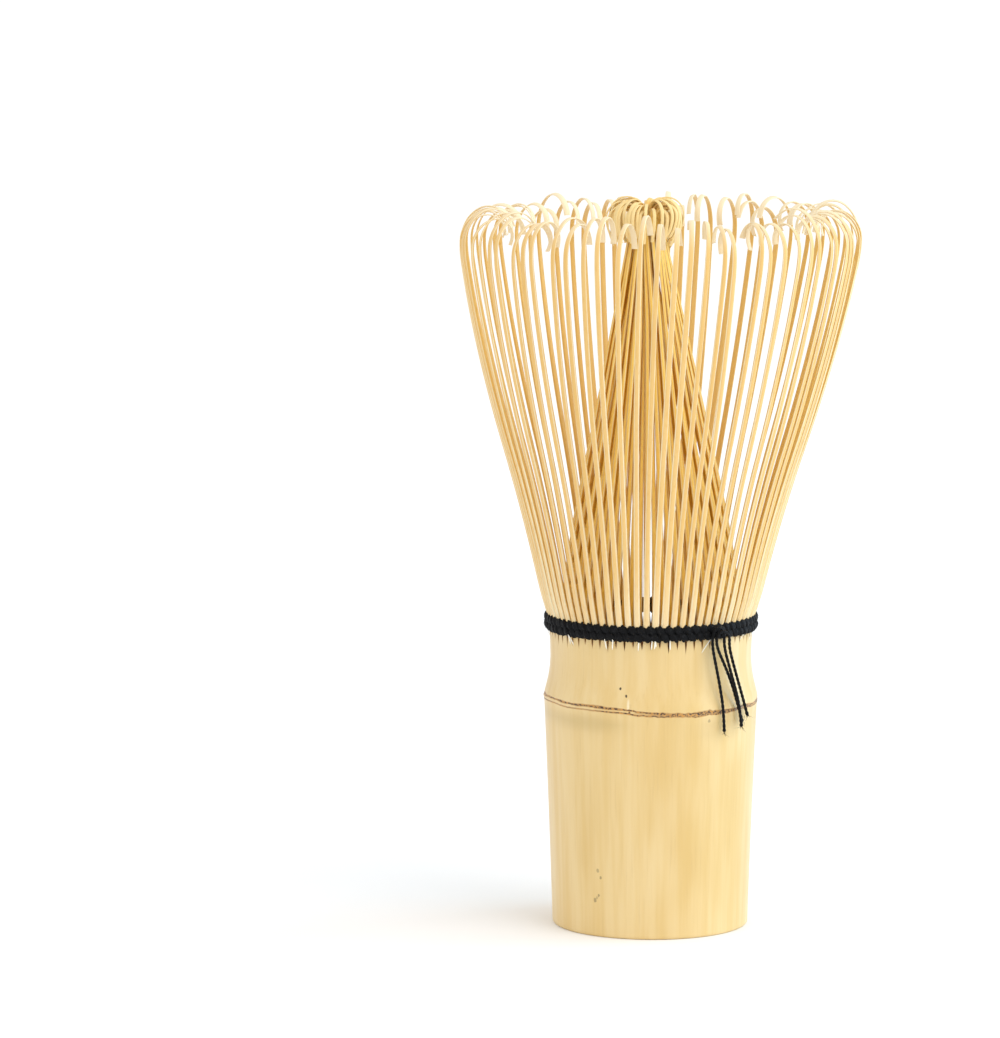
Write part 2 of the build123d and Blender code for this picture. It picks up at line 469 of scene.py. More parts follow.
# %% Wandering lines
split_depths = np.random.default_rng(7).uniform(1.7, 2.9, tine_count)
scar_angle = radians(-101.4)


def wander(angle, size, waves, seed):
    """A line that strays up and down as it goes round: a sum of sines of whole frequencies."""
    rng = np.random.default_rng(seed)
    frequencies = np.arange(2, 2 + waves)
    phases = rng.uniform(0, 2 * np.pi, waves)
    sizes = rng.uniform(0.3, 1.0, waves) / frequencies**0.6
    return size * (sizes * np.sin(np.outer(angle, frequencies) + phases)).sum(axis=1)


def node_wander(angle):
    """How far the node line strays: a tilt, a step at the bud scar, and small waves, in millimetres."""
    past_scar = angle_past(angle, scar_angle)
    step = -0.3 * np.exp(-((past_scar - 0.5) ** 2) / 0.25) * np.clip(past_scar / 0.03, 0, 1)
    return -0.3 * np.cos(angle) + step + wander(angle.ravel(), 0.09, 14, 3).reshape(angle.shape)


# %% [markdown]
# The node is where a leaf sheath and the diaphragm met the culm. Its scar is two brown grooves with a low ridge
# between them, close together at the front and further apart at the back. Right of the bud's scar they are rough.

# %% Node grooves and skin
def node_grooves(angle, away):
    """Two masks, 1 on the upper and on the lower groove of the node, from the distance above its middle."""
    flat = angle.ravel()
    apart = 0.23 - 0.09 * np.cos(angle)
    past_scar = angle_past(flat, scar_angle)
    rough = 1 + 1.3 * np.clip(past_scar / 0.05, 0, 1) * np.clip((0.9 - past_scar) / 0.15, 0, 1)
    upper_jag = (rough * wander(flat, 0.04, 140, 15)).reshape(angle.shape)
    lower_jag = (rough * wander(flat, 0.035, 150, 17)).reshape(angle.shape)
    upper_width = 0.15 * np.clip(1.2 + wander(flat, 0.5, 30, 19).reshape(angle.shape), 0.6, 2)
    upper = np.exp(-(((away - apart + upper_jag) / upper_width) ** 2))
    lower = np.exp(-(((away + apart + lower_jag) / 0.12) ** 2))
    return upper, lower


ridge_rise = 0.13
ridge_width = 0.55
upper_groove_depth = 0.10
lower_groove_depth = 0.07
scar_depth = 0.13
scar_width = 0.16
flare_length = 2.9


def skin_radius(angle, height):
    """The culm's outside: a slow swell up to the node, then a flare down to the waist.

    The radius grows with height to the power 1.15 up to the node, and above it falls off as exp(-(rise / length)^1.5).
    Two low cosines make it oval; the node's ridge is added, and its grooves and the bud's scar are taken off.
    """
    swell = base_radius + (node_radius - base_radius) * (height / node_height) ** 1.15
    fall = np.exp(-np.clip((height - node_height - 0.4) / flare_length, 0, None) ** 1.5)
    above = waist_radius + (node_radius - waist_radius) * fall
    above = above + (crown_radius - waist_radius) * np.clip((height - 41) / 4, 0, 1)
    radius = np.where(height < node_height, swell, above)
    oval = 0.07 * np.cos(2 * angle + 0.6) + 0.04 * np.cos(3 * angle + 2.0)
    away = height - node_height - node_wander(angle)
    ridge = ridge_rise * np.exp(-((away / ridge_width) ** 2))
    upper, lower = node_grooves(angle, away)
    sideways = angle_past(angle, scar_angle) * 16
    scar = np.exp(-((sideways / scar_width) ** 2) - ((away - 0.5) / 0.6) ** 4)
    grooves = upper_groove_depth * upper + lower_groove_depth * lower
    return radius + oval + ridge - grooves - scar_depth * scar


# %% [markdown]
# The rim is cut by one V for each gap between two tines, each to its own depth. The grid has ten columns to a tine,
# so that each V has straight sides, and its rows crowd round the node, where the skin has the finest shape.

# %% Rim splits
def rim_drop(angle):
    """How far the rim is split down at each angle: a narrow V between every two fingers."""
    gap = angle / pitch
    nearest = np.round(gap)
    depth = split_depths[nearest.astype(int) % tine_count]
    return depth * np.clip(1 - np.abs(gap - nearest) / 0.2, 0, 1)


# %% Handle path
columns_per_tine = 10
columns = tine_count * columns_per_tine
angles = np.arange(columns) * 2 * np.pi / columns
heights = np.concatenate([
    [0.0, 0.1, 0.25, 0.5, 1.0],
    np.linspace(2.5, node_height - 2, 18),
    np.linspace(node_height - 1.3, node_height + 1.3, 44),
    np.linspace(node_height + 1.7, 42.8, 18),
])
foot_rounding = np.array([0.32, 0.13, 0.03])
split_steps = np.linspace(0, 1, 9)
inside_path = [
    (13.1, rim_height - 0.2),
    (12.6, rim_height - 2.5),
    (11.9, 42.0),
    (11.8, node_height + 0.4),
    (11.2, node_height - 0.4),
    (6.0, node_height - 0.5),
    (0.4, node_height - 0.5),
]
under_path = [
    (0.4, bore_top),
    (6.0, bore_top + 0.1),
    (11.0, bore_top - 0.1),
    (bore_radius, bore_top - 0.9),
    (bore_radius, 20.0),
    (bore_radius + 0.05, 8.0),
    (bore_radius + 0.1, 0.4),
    (bore_radius + 0.35, 0.0),
]


def turned(path):
    """Rings of one radius and height each, as two arrays with a row for each point of the path."""
    return np.array(path).T[:, :, None] * np.ones(columns)


# %% Handle grid
outside_angle, outside_height = np.meshgrid(angles, heights)
outside_radius = skin_radius(outside_angle, outside_height)
outside_radius[: len(foot_rounding)] -= foot_rounding[:, None]
split_angle, split_share = np.meshgrid(angles, split_steps)
split_height = split_start + (rim_height - rim_drop(split_angle) - split_start) * split_share
split_radius = skin_radius(split_angle, split_height)
inside_radius, inside_height = turned(inside_path)
under_radius, under_height = turned(under_path)
inside_height[0] -= rim_drop(angles)
all_radius = np.concatenate([under_radius, outside_radius, split_radius, inside_radius])
all_height = np.concatenate([under_height, outside_height, split_height, inside_height])
all_angle = np.broadcast_to(angles, all_radius.shape)
culm_points = np.stack([all_radius * np.cos(all_angle), all_radius * np.sin(all_angle), all_height], axis=-1) * mm
print("culm rings", len(all_radius), "of", columns, "points")

# %% [markdown]
# ### Culm skin
#
# A culm's skin is smooth and straw yellow, with straight fibres a few tenths of a millimetre apart that run its
# whole height. Noise squeezed along Z makes the fibres. The brown node lines, the grey shade under them, a painted
# highlight beside the bud's scar, painted shade in the scar's groove and in the rim's splits, a few marks and the
# pale pith inside are masks. Those of the node are worked out with the mesh, because they follow its shape; a mark
# is only a spot, so the shader measures how far each point is from it.

# %% Culm marks
# Each mark is an angle in degrees, a height and a size in millimetres, and a strength.
culm_marks = [
    (-107.0, 38.2, 0.2, 1.0),
    (-103.6, 37.2, 0.22, 1.0),
    (-121.5, 10.2, 0.26, 0.4),
    (-119.6, 9.2, 0.22, 0.5),
    (-123.6, 5.6, 0.3, 0.5),
    (-122.3, 6.0, 0.22, 0.35),
    (-121.0, 6.4, 0.2, 0.5),
    (-57.0, 33.2, 0.25, 0.4),
    (22.0, 24.0, 0.4, 0.35),
    (75.0, 15.0, 0.3, 0.5),
    (131.0, 28.0, 0.4, 0.35),
    (168.0, 40.2, 0.3, 0.6),
]
print("marks", len(culm_marks))

# %% Culm finish
def mark_mask(finish):
    """1 within each mark: its distance from a point of the skin, in space that noise has pushed about a little."""
    squash = 0.7
    stray = 0.3 * mm
    noise = finish.node("ShaderNodeTexNoise", {}, {"Vector": finish.places(), "Scale": 2500.0}, output="Color")
    shifts = {0: noise, 1: (stray, stray, stray), 2: (-stray / 2, -stray / 2, -stray / 2)}
    shift = finish.node("ShaderNodeVectorMath", {"operation": "MULTIPLY_ADD"}, shifts)
    place = finish.node("ShaderNodeVectorMath", {"operation": "ADD"}, {0: finish.places((1, 1, squash)), 1: shift})
    mask = 0.0
    for degrees, height, size, strength in culm_marks:
        angle = radians(degrees)
        reach = float(skin_radius(np.array([angle]), np.array([height]))[0]) * mm
        ends = {0: place, 1: (reach * cos(angle), reach * sin(angle), squash * height * mm)}
        away = finish.node("ShaderNodeVectorMath", {"operation": "DISTANCE"}, ends, output="Value")
        mask = (1 - finish.band(away, 0.6 * size * mm, size * mm)) * strength + mask
    return mask


def culm_finish():
    """Straw-coloured skin with long fibres, brown node lines that also paint shade in the scar's groove and the
    splits, a painted highlight beside the bud's scar, and a few dark specks.
    """
    finish = Finish("culm_bamboo")
    fibres = finish.noise(finish.places((1, 1, 0.012)), 2600, 4)
    streaks = finish.noise(finish.places((1, 1, 0.05)), 420, 3)
    clouds = finish.noise(finish.places((1, 1, 0.45)), 70, 2)
    line = finish.field("node_line")
    shade = finish.field("node_shade")
    light = finish.field("scar_light")
    inside = finish.field("inside")
    pale, straw, honey = (0.82, 0.615, 0.295), (0.765, 0.54, 0.215), (0.68, 0.445, 0.13)
    colour = finish.mix(finish.band(streaks, 0.35, 0.68), pale, straw)
    colour = finish.mix(finish.band(clouds, 0.46, 0.72) * 0.6, colour, honey)
    colour = finish.mix(finish.band(fibres, 0.55, 0.75) * 0.16, colour, (0.52, 0.33, 0.12))
    colour = finish.mix(finish.band(shade, 0, 1) * 0.5, colour, (0.54, 0.38, 0.14))
    # Painted highlight: a pale patch beside the bud's scar, for light on the edge of its notch.
    colour = finish.mix(finish.band(light, 0, 0.83) * 0.7, colour, (0.95, 0.82, 0.56))
    colour = finish.mix(mark_mask(finish), colour, (0.07, 0.045, 0.015))
    # The node lines' brown, which also paints the shade in the bud scar's groove and in the rim's splits.
    colour = finish.mix(finish.band(line, 0.03, 0.4) * 0.75, colour, (0.44, 0.22, 0.06))
    speckle = finish.noise(finish.places(), 3400, 2, 0.7)
    rust = finish.band(line, 0.15, 0.45) * finish.band(speckle, 0.5, 0.62) * 0.8
    dirt = finish.band(line, 0.35, 0.75) * (1 - finish.band(speckle, 0.44, 0.56))
    colour = finish.mix(rust, colour, (0.60, 0.26, 0.03))
    colour = finish.mix(dirt, colour, (0.045, 0.016, 0.006))
    pith = finish.mix(finish.band(streaks, 0.4, 0.7), (0.78, 0.63, 0.40), (0.62, 0.45, 0.24))
    colour = finish.mix(inside, colour, pith)
    roughness = 0.36 + finish.band(streaks, 0.3, 0.8) * 0.12 + line * 0.2 + inside * 0.3
    normal = finish.bump(fibres, 0.00006, 0.5)
    return finish.set(Base_Color=colour, Roughness=roughness, Normal=normal, Coat_Weight=0.3, Coat_Roughness=0.3)


culm_bamboo = culm_finish()
print("culm material", culm_bamboo.name)

# %% Handle fields
outside_from = len(under_path)
outside_to = outside_from + len(heights) + len(split_steps)
outside = np.zeros(all_radius.shape)
outside[outside_from:outside_to] = 1
away = all_height - node_height - node_wander(all_angle)

upper_line, lower_line = node_grooves(all_angle, away)
upper_line = upper_line * np.clip(1.0 + wander(angles, 0.2, 9, 5), 0.5, 1)
lower_line = lower_line * np.clip(0.8 + wander(angles, 0.3, 12, 8), 0.3, 1)
filled = np.clip(0.2 + 0.5 * np.cos(all_angle) + wander(angles, 0.25, 60, 23), 0, 0.7)
between = np.exp(-((away / 0.22) ** 2)) * filled
across_scar = angle_past(all_angle, scar_angle) * all_radius
# Painted shade: a dark line down the bud scar's groove, and dark ticks in the rim's splits below the thread.
scar_groove_shade = np.exp(-((across_scar / 0.12) ** 4) - ((away + 0.05) / 0.42) ** 4) * 0.9
split_shade = np.clip(rim_drop(all_angle) / 1.2, 0, 1) * np.clip((all_height - 44.2) / 1.2, 0, 1) * 0.8
# Painted highlight: a pale patch beside the scar, above the node.
scar_light = np.exp(-(((across_scar + 0.22) / 0.16) ** 2) - ((away - 1.0) / 0.75) ** 4)
node_shade = np.exp(-(((away + 2.4) / 1.5) ** 2)) * np.clip(0.6 + wander(angles, 0.5, 5, 11), 0, 1)
# The node lines' mask also carries the painted shade of the scar's groove and of the splits.
node_line = np.max([upper_line, lower_line, between, scar_groove_shade, split_shade], axis=0)
culm_fields = {
    "node_line": node_line * outside,
    "node_shade": node_shade * outside,
    "scar_light": scar_light * outside,
    "inside": 1 - outside,
}
print("rings outside", outside_to - outside_from)

# %% Handle mesh
culm_faces = closed_tube(len(all_radius), columns)
culm = make_piece("culm", culm_points, culm_faces, culm_fields, culm_bamboo, smooth_angle=50)
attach(culm, "handle")
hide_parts("handle")
print("culm faces", len(culm_faces))

# %% [markdown]
# ## Tines
#
# A tine is a strip that never leaves its own radial plane by much, so its shape is one list: how it faces at each
# millimetre of its length. Adding up steps in that direction gives its line. Each strip starts inside the rim,
# leans out or in above the thread, and curls at its tip. Small random changes of lean, sway and curl, made once for
# each tine, give the ring its hand-made look.

# %% Strip builder
def strip_lines(lengths, facings, start):
    """Radius and height along strips: the running sum of steps that point at the facing angle of each stretch.

    lengths and facings have a row for each strip. The facing is 90 degrees for straight up, less for outwards.
    """
    steps = np.diff(lengths, axis=1)
    middle = np.radians((facings[:, 1:] + facings[:, :-1]) / 2)
    radius = start[0] + np.concatenate([np.zeros((len(steps), 1)), np.cumsum(steps * np.cos(middle), 1)], 1)
    height = start[1] + np.concatenate([np.zeros((len(steps), 1)), np.cumsum(steps * np.sin(middle), 1)], 1)
    return radius, height


def strip_points(angle, radius, height, facing, width, thickness, sway, twist):
    """Eight points round each strip at each stretch: a flat section with its long corners taken off.

    The section's wide side lies across the radial plane. sway moves the strip sideways, and twist turns the
    section about the strip's own line, in degrees.
    """
    corner = 0.34 * thickness
    across = np.stack([width / 2 - corner, width / 2, width / 2, width / 2 - corner], -1)
    across = np.concatenate([across, -across[..., ::-1]], -1)
    through = np.stack([-thickness / 2, -thickness / 2 + corner, thickness / 2 - corner, thickness / 2], -1)
    through = np.concatenate([through, through[..., ::-1]], -1)
    turn = np.radians(twist)[..., None]
    side = across * np.cos(turn) - through * np.sin(turn) + sway[..., None]
    inward = across * np.sin(turn) + through * np.cos(turn)
    face = np.radians(facing)[..., None]
    out = radius[..., None] - inward * np.sin(face)
    up = height[..., None] + inward * np.cos(face)
    turn_round = angle[:, None, None]
    x = out * np.cos(turn_round) - side * np.sin(turn_round)
    y = out * np.sin(turn_round) + side * np.cos(turn_round)
    return np.stack([x, y, up], axis=-1)


# %% Sector piece
def joined_strips(points):
    """One mesh of several closed strips: the grid's faces and two caps, once for each strip."""
    strips, rows, around = points.shape[:3]
    one = closed_tube(rows, around)
    shifts = (np.arange(strips) * rows * around)[:, None, None]
    return (one[None] + shifts).reshape(-1, 4)


def sector_piece(name, chosen, strips, material):
    """The strips of one sector as one piece, in place of the sector's tines in the model."""
    points = strips["points"][chosen] * mm
    everywhere = np.ones(points.shape[:3])
    fields = {
        "round": everywhere * round_ring,
        "along": everywhere * strips["along"][None, :, None],
        "tone": everywhere * strips["tone"][chosen][:, None, None],
    }
    piece = make_piece(name, points, joined_strips(points), fields, material, smooth_angle=60)
    node = name.replace("strips", "tines")
    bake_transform(piece)
    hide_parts(node)


def ring_pieces(prefix, strips, material):
    """The pieces of a whole ring, with the tines of one sector in each."""
    for sector in range(sector_count):
        chosen = np.arange(sector_tines) + sector_tines * sector
        sector_piece(f"{prefix}_{sector + 1:02d}", chosen, strips, material)


# %% Tine chances
round_ring = np.array([0, 1, 2, 3, 3, 2, 1, 0])
stem_share = np.linspace(0, 1, 34)
curl_share = np.linspace(0, 1, 25)[1:]


def jitter(rng, size):
    """One random number for each tine, from a bell curve cut off at two sizes."""
    return np.clip(rng.normal(0, size, tine_count), -2 * size, 2 * size)


def spread_out(moves, spacing, least):
    """Sideways moves of neighbours in a ring, changed where two would cross until they are `least` apart."""
    for _ in range(60):
        gap = spacing + np.roll(moves, -1) - moves
        push = np.clip(least - gap, 0, None) / 2
        moves = moves - push + np.roll(push, 1)
    return moves


# %% [markdown]
# ### Outer tines
#
# Each leans out sharply where the thread holds it, rises in a shallow bow, and ends in a hook: a wide gentle bend
# first, a tight one over the crest, and a short tail that hangs inside the ring. The tails are shaved thin and wide.
# A tine's sideways move is random, and `spread_out` pushes apart two that would cross, as the real ones do.

# %% Outer tines
outer_rng = np.random.default_rng(21)
outer_start = (crown_radius - 0.25, rim_height - 0.6)
stem_top = 101.1
bend_stations = [0, 0.015, 0.035, 0.07, 0.12, 0.3, 0.5, 0.8, 1]
bend_facings = [90, 84, 69, 73, 77, 75, 72.6, 76.6, 80.2]
stem_facing = np.interp(stem_share, bend_stations, bend_facings)
stem_length = (stem_top - outer_start[1]) / np.mean(np.sin(np.radians(stem_facing)))
stem_length = stem_length + jitter(outer_rng, 0.35)
hook_length = 14.7 * (1 + jitter(outer_rng, 0.05))
hook_facing = np.interp(curl_share, [0, 0.22, 0.56, 0.93, 1], [80.2, 90, 150, 262, 274])
hook_extra = jitter(outer_rng, 24.0)[:, None] * curl_share**2
lean = jitter(outer_rng, 0.3)[:, None] * stem_share - 0.4
stem_part = stem_length[:, None] * stem_share
hook_part = stem_length[:, None] + hook_length[:, None] * curl_share
outer_lengths = np.concatenate([stem_part, hook_part], 1)
outer_facing = np.concatenate([stem_facing + lean, hook_facing + lean[:, -1:] + hook_extra], 1)
outer_radius, outer_height = strip_lines(outer_lengths, outer_facing, outer_start)
share = np.concatenate([stem_share * 0.8, 0.8 + 0.2 * curl_share])

# %% Outer tines' sections and pieces
outer_width = np.interp(share, [0, 0.04, 0.1, 0.3, 0.8, 0.9, 1], [1.1, 0.96, 0.9, 0.82, 0.77, 0.68, 0.92])
outer_width = outer_width * (1 + jitter(outer_rng, 0.06))[:, None]
outer_thickness = np.interp(share, [0, 0.05, 0.5, 0.8, 0.9, 1], [0.8, 0.7, 0.48, 0.34, 0.24, 0.14])
outer_thickness = np.broadcast_to(outer_thickness, outer_width.shape)
sideways = spread_out(jitter(outer_rng, 0.75), 2 * np.pi * 29.5 / tine_count, 1.15)
hook_drift = jitter(outer_rng, 0.5)
outer_sway = sideways[:, None] * share**1.4 + hook_drift[:, None] * np.clip((share - 0.84) / 0.16, 0, 1) ** 1.3
outer_twist = jitter(outer_rng, 8.0)[:, None] * share**2 + jitter(outer_rng, 12.0)[:, None] * share**6
outer_points = strip_points(
    tine_angles, outer_radius, outer_height, outer_facing, outer_width, outer_thickness, outer_sway, outer_twist
)
ring_shift = 1.35
outer_points[..., 0] += (ring_shift * share**1.5)[None, :, None]
outer_strips = {"points": outer_points, "along": share, "tone": outer_rng.uniform(0, 1, tine_count)}
ring_pieces("outer_strips", outer_strips, outer_tine_bamboo)
print("outer crest", round(outer_points[..., 2].max(), 2), "ring radius", round(outer_radius.max(), 2))

# %% [markdown]
# ### Inner tines
#
# They lean in to a neck only a few millimetres wide, and there they curl outwards and down, like the ribs of a
# pumpkin. Every other one starts its curl further in, so that the curls nest. The ribs gather in lobes,
# which leave a dark hollow between two of them.

# %% Inner tines
inner_rng = np.random.default_rng(5)
inner_start = (13.45, rim_height - 0.3)
bulb_radius = 5.6
neck = np.where(np.arange(tine_count) % 2 == 0, 0.9, 2.3) + jitter(inner_rng, 0.3)
inner_top = 107.3 + jitter(inner_rng, 0.25)
rise = inner_top - inner_start[1]
run = inner_start[0] - neck
straight = np.degrees(np.arctan2(rise, -run))
bow = np.interp(stem_share, [0, 0.05, 0.12, 0.35, 1], [-8, -7, -3, 1.5, 1.8])
inner_stem_facing = straight[:, None] + bow
inner_stem = rise / np.mean(np.sin(np.radians(inner_stem_facing)), axis=1)
curl_radius = (bulb_radius + jitter(inner_rng, 0.25) - neck) / 2
curl_turn = inner_stem_facing[:, -1] + 90
curl_length = curl_radius * np.radians(curl_turn)
tail_length = 3.6 + jitter(inner_rng, 0.5)
tail_turn = 38 + jitter(inner_rng, 10)
curl_part = np.clip(curl_share / 0.62, 0, 1)
tail_part = np.clip((curl_share - 0.62) / 0.38, 0, 1)
curl_along = curl_length[:, None] * curl_part + tail_length[:, None] * tail_part
curl_facing = inner_stem_facing[:, -1:] - curl_turn[:, None] * curl_part - tail_turn[:, None] * tail_part
inner_lengths = np.concatenate([inner_stem[:, None] * stem_share, inner_stem[:, None] + curl_along], 1)
inner_facing = np.concatenate([inner_stem_facing, curl_facing], 1)
inner_radius, inner_height = strip_lines(inner_lengths, inner_facing, inner_start)

# %% Inner tines' sections and pieces
inner_width = np.interp(share, [0, 0.3, 0.7, 0.85, 1], [0.9, 0.62, 0.46, 0.52, 0.5]) * np.ones(inner_radius.shape)
inner_thickness = np.interp(share, [0, 0.5, 0.8, 1], [0.6, 0.42, 0.26, 0.14]) * np.ones(inner_radius.shape)
hollows = np.radians([[-70], [-128], [28], [100], [170]])
depths = np.array([[1.6], [0.5], [0.6], [0.7], [0.5]])
widths = np.array([[0.46], [0.25], [0.35], [0.4], [0.35]])
away_from = angle_past(tine_angles, hollows)
parting = (depths * away_from * np.exp(-((away_from / widths) ** 2))).sum(axis=0)
gathered = np.clip((share - 0.6) / 0.3, 0, 1) ** 1.5
inner_sway = inner_radius * parting[:, None] * gathered + jitter(inner_rng, 0.15)[:, None] * share
inner_twist = jitter(inner_rng, 8.0)[:, None] * share
inner_points = strip_points(
    tine_angles, inner_radius, inner_height, inner_facing, inner_width, inner_thickness, inner_sway, inner_twist
)
bulb_shift = -1.25
inner_points[..., 0] += (bulb_shift * share**1.5)[None, :, None]
inner_strips = {"points": inner_points, "along": share, "tone": inner_rng.uniform(0, 1, tine_count)}
ring_pieces("inner_strips", inner_strips, inner_tine_bamboo)
print("inner crest", round(inner_points[..., 2].max(), 2), "bulb radius", round(inner_radius[:, -20:].max(), 2))

# %% [markdown]
# ## Thread
#
# A twisted thread is a tube whose section has one lobe for each ply, and the section turns as it goes along.

# %% Twisted tube
def twisted_tube(line, across, size, plies, twist_length, around=12, closed=False, taper=None):
    """Points of a twisted thread: radius = size * (0.68 + 0.32 |cos|) of plies/2 times the angle minus the twist."""
    if closed:
        tangent = unit(np.roll(line, -1, axis=0) - np.roll(line, 1, axis=0))
    else:
        tangent = unit(np.gradient(line, axis=0))
    side = unit(np.cross(tangent, across))
    over = np.cross(side, tangent)
    steps = np.linalg.norm(np.diff(line, axis=0, append=line[:1] if closed else line[-1:]), axis=1)
    along = np.concatenate([[0], np.cumsum(steps)[:-1]])
    angle = np.arange(around) * 2 * np.pi / around
    phase = angle[None, :] - 2 * np.pi * (along / twist_length)[:, None]
    radius = size * (0.68 + 0.32 * np.abs(np.cos(phase * plies / 2)))
    if taper is not None:
        radius = radius * taper[:, None]
    out = np.cos(angle)[None, :, None] * over[:, None, :] + np.sin(angle)[None, :, None] * side[:, None, :]
    return line[:, None, :] + out * radius[..., None]


def resampled(line, step):
    """The same line with points a step apart."""
    lengths = np.concatenate([[0], np.cumsum(np.linalg.norm(np.diff(line, axis=0), axis=1))])
    places = np.linspace(0, lengths[-1], int(lengths[-1] / step) + 1)
    return np.stack([np.interp(places, lengths, line[:, axis]) for axis in range(3)], axis=-1)


def thread_piece(name, node, points, faces):
    """A piece of black thread that rides on the handle and stands for one node of the model."""
    piece = make_piece(name, points, faces, {}, black_thread, smooth_angle=80)
    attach(piece, "handle")
    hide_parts(node)
    return piece


# %% Thread courses
def course_line(radius, height, dip, wave, phase, samples=1080):
    """A ring that dips inwards between tines and rides up and down, more at one tine than at the next."""
    angle = np.arange(samples) * 2 * np.pi / samples
    uneven = 1 + wander(angle, 0.35, 30, 40 + int(phase))
    r = radius - dip * (0.5 + 0.5 * np.cos(angle * tine_count + phase)) * np.clip(uneven, 0, 1.5)
    z = height + wave * uneven * np.sin(angle * tine_count + phase) + wander(angle, 0.03, 9, 50 + int(phase))
    return np.stack([r * np.cos(angle), r * np.sin(angle), z], axis=-1) * mm


def thread_course(name, node, radius, height, size, phase, tall=1.0):
    """One turn of thread round the crown, standing for its CAD ring; tall stretches its section upwards."""
    line = course_line(radius, height, 0.2, 0.1, phase)
    points = twisted_tube(line, np.array([0.0, 0.0, 1.0]), size * mm, 3, 1.9 * mm, 12, closed=True)
    points[..., 2] += (points[..., 2] - line[:, None, 2]) * (tall - 1)
    thread_piece(name, node, points, grid_faces(len(line), 12, closed_rows=True))


def ring_size(node, thread_radius):
    """The radius and height in millimetres of the middle of a node's ring of thread."""
    low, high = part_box(node)
    return high.x / mm - thread_radius, (low.z + high.z) / 2 / mm


course_radius, lower_height = ring_size("lower_thread_course", 0.36)
_, upper_height = ring_size("upper_thread_course", 0.36)
hidden_radius, hidden_height = ring_size("inner_thread_course", 0.26)
apart = 0.14
proud = 0.08
thread_course("lower_course", "lower_thread_course", course_radius + proud, lower_height - apart, 0.5, 0.0, 1.5)
thread_course("upper_course", "upper_thread_course", course_radius + proud, upper_height + apart, 0.5, np.pi, 1.5)
thread_course("inner_course", "inner_thread_course", hidden_radius, hidden_height + 1.2, 0.45, 0.0)
print("courses at", round(lower_height, 2), round(upper_height, 2), round(hidden_height, 2))

# %% [markdown]
# ### Slivers
#
# Splitting lifts a few pale fibres at the foot of the splits, and they stay caught under the thread. Each is a thin
# strip like a tine's, only about a millimetre long.

# %% Slivers
# The first four are placed one by one at the front, and the third of them leans far over; the rest are random.
sliver_rng = np.random.default_rng(12)
placed_angles = np.radians([-87.9, -79.2, -60.6, -112.0])
placed_lengths = [1.3, 1.5, 2.4, 1.2]
sliver_angles = np.concatenate([placed_angles, sliver_rng.uniform(-np.pi, np.pi, 16)])
sliver_count = len(sliver_angles)
sliver_share = np.linspace(0, 1, 6)
sliver_length = sliver_rng.uniform(0.7, 1.7, sliver_count)
sliver_length[: len(placed_lengths)] = placed_lengths
sliver_lean = sliver_rng.normal(0, 0.18, sliver_count)
sliver_lean[2] = 0.62
sliver_foot = rim_height - 0.9 - 0.75 * sliver_length
sliver_height = sliver_foot[:, None] + sliver_length[:, None] * sliver_share
sliver_radius = crown_radius + 0.12 + 0.62 * sliver_share**1.4 * np.ones((sliver_count, 1))
sliver_width = np.interp(sliver_share, [0, 0.3, 1], [0.06, 0.22, 0.12]) * np.ones((sliver_count, 1))
sliver_thickness = np.full(sliver_width.shape, 0.07)
sliver_sway = (sliver_lean * sliver_length)[:, None] * sliver_share
sliver_facing = np.full(sliver_width.shape, 75.0)
no_twist = np.zeros(sliver_width.shape)

# %% Sliver piece
sliver_points = strip_points(
    sliver_angles, sliver_radius, sliver_height, sliver_facing, sliver_width, sliver_thickness, sliver_sway, no_twist
)
sliver_fields = {"along": np.ones(sliver_points.shape[:3]), "tone": np.zeros(sliver_points.shape[:3])}
slivers = make_piece("slivers", sliver_points * mm, joined_strips(sliver_points), sliver_fields, sliver_bamboo, 60)
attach(slivers, "handle")
print("slivers", sliver_count)

# %% [markdown]
# ### The tie threads
#
# Each is a mesh tube that follows the spline read above, so it can show its twist and swell a little at its cut ends.

# %% Tie threads
knot_low, knot_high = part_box("thread_knot")
knot_centre = (knot_low + knot_high) / 2


def tie_thread(name, line, size):
    """A limp twisted thread along the line, with both ends frayed a little wider and closed at the tip."""
    step = 0.12
    line = resampled(line, step * mm)
    outward = line * np.array([1.0, 1.0, 0.0])
    places = np.arange(len(line)) * step
    from_end = np.minimum(places, places[::-1])
    taper = 1 + 0.25 * np.exp(-((from_end / 0.5) ** 2)) - 0.85 * np.exp(-((from_end / 0.1) ** 2))
    points = twisted_tube(line, unit(outward), size * mm, 2, 1.5 * mm, 10, taper=taper)
    piece = thread_piece(name.replace("tie_thread", "tie_cord"), name, points, closed_tube(len(line), 10))


tie_radius = 0.25
for name, line in tie_lines.items():
    tie_thread(name, line, tie_radius)
print("tie threads", len(tie_lines), "of", 2 * tie_radius, "mm")

# %% [markdown]
# ### The knot
#
# The knot is the same thread wound over itself: a few tight loops, each a small tilted ring.

# %% Knot
# Each loop is a tilt in degrees, then its half width, half height and shift outwards in millimetres.
knot_loops = [(-25, 0.85, 0.6, -0.5), (20, 0.75, 0.6, -0.2), (75, 0.6, 0.45, -0.4), (-70, 0.65, 0.4, -0.1)]


